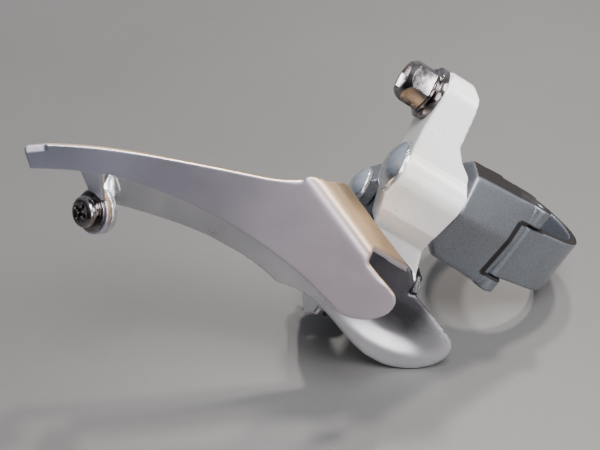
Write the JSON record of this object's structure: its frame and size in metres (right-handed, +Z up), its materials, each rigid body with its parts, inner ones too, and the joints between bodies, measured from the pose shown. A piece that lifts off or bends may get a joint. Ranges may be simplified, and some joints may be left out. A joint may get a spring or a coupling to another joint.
{
  "type": "front derailleur",
  "caption": "Clamp-on front derailleur with a hinged band, parallelogram links and a curved two-plate chain cage.",
  "frame": {"origin": "centre of the seat tube clamp bore, on the tube's axis at the band's mid height", "axes": "+Z up the seat tube, +X towards the front of the bicycle, +Y inboard (left); the chainwheel side is -Y"},
  "size_m": [0.129, 0.0716, 0.068],
  "materials": {
    "cast_grey": "metallic flake paint",
    "white_enamel": "gloss pearl enamel",
    "brushed_plate": "satin brushed",
    "polished_plate": "polished chrome plate",
    "chrome_steel": "chrome plated",
    "zinc_steel": "bright zinc plated",
    "dark_spring": "oiled spring steel",
    "nylon": "moulded"
  },
  "bodies": {
    "base": {"clamp_body": "cast_grey", "band_hinge_pin": "zinc_steel", "upper_inner_pivot": "zinc_steel", "upper_outer_bush": "nylon"},
    "band": {"clamp_band": "cast_grey"},
    "clamp_bolt": {"clamp_bolt": "chrome_steel", "clamp_bolt_washer": "chrome_steel"},
    "outer_link": {"outer_link": "white_enamel", "upper_outer_pivot": "zinc_steel", "lower_outer_bush": "nylon"},
    "inner_link": {"inner_link": "cast_grey", "upper_inner_bush": "nylon", "lower_inner_bush": "nylon"},
    "cage": {"outer_cage_plate": "brushed_plate", "inner_cage_plate": "polished_plate", "lower_outer_pivot": "zinc_steel", "lower_inner_pivot": "zinc_steel", "lower_pivot_clips": "dark_spring", "return_spring": "dark_spring", "tail_washer": "chrome_steel"},
    "cable_bolt": {"cable_bolt": "chrome_steel"},
    "cable_washer": {"cable_washer": "chrome_steel"},
    "high_limit_screw": {"high_limit_screw": "chrome_steel"},
    "low_limit_screw": {"low_limit_screw": "chrome_steel"},
    "tail_screw": {"tail_screw": "chrome_steel"}
  },
  "joints": [
    {"name": "swing", "type": "hinge", "parent": "base", "child": "outer_link", "pos_m": [-0.034, -0.029, 0.0062], "axis": [-1, 0, 0], "range_deg": [0, 30], "stiffness_Nm_per_rad": 0.9, "springref_deg": -20.05},
    {"name": "inner_swing", "type": "hinge", "parent": "base", "child": "inner_link", "pos_m": [-0.034, -0.018, -0.0048], "axis": [-1, 0, 0], "range_deg": [0, 30]},
    {"name": "cage_level", "type": "hinge", "parent": "outer_link", "child": "cage", "pos_m": [-0.029, -0.0225, -0.0183], "axis": [-1, 0, 0], "range_deg": [-30, 0]},
    {"name": "band_open", "type": "hinge", "parent": "base", "child": "band", "pos_m": [-0.0039, -0.0173, 0], "axis": [0, 0, -1], "range_deg": [0, 6]},
    {"name": "clamp_bolt_unscrew", "type": "slide", "parent": "base", "child": "clamp_bolt", "axis": [1, 0, 0], "range_m": [0, 0.005]},
    {"name": "cable_bolt_unscrew", "type": "slide", "parent": "outer_link", "child": "cable_bolt", "axis": [-1, 0, 0], "range_m": [0, 0.003]},
    {"name": "cable_washer_lift", "type": "slide", "parent": "outer_link", "child": "cable_washer", "axis": [-1, 0, 0], "range_m": [0, 0.0015]},
    {"name": "high_limit_adjust", "type": "slide", "parent": "base", "child": "high_limit_screw", "axis": [0, 0, 1], "range_m": [0, 0.001]},
    {"name": "low_limit_adjust", "type": "slide", "parent": "base", "child": "low_limit_screw", "axis": [0, 0, 1], "range_m": [0, 0.003]},
    {"name": "tail_screw_unscrew", "type": "slide", "parent": "cage", "child": "tail_screw", "axis": [-0.6991, -0.6991, -0.1498], "range_m": [0, 0.006]}
  ],
  "couplings": [
    {"joint": "inner_swing", "follows": "swing", "ratio": 1},
    {"joint": "cage_level", "follows": "swing", "ratio": -1},
    {"joint": "clamp_bolt_unscrew", "follows": "band_open", "m_per_rad": 0.047},
    {"joint": "cable_washer_lift", "follows": "cable_bolt_unscrew", "ratio": 0.5}
  ]
}
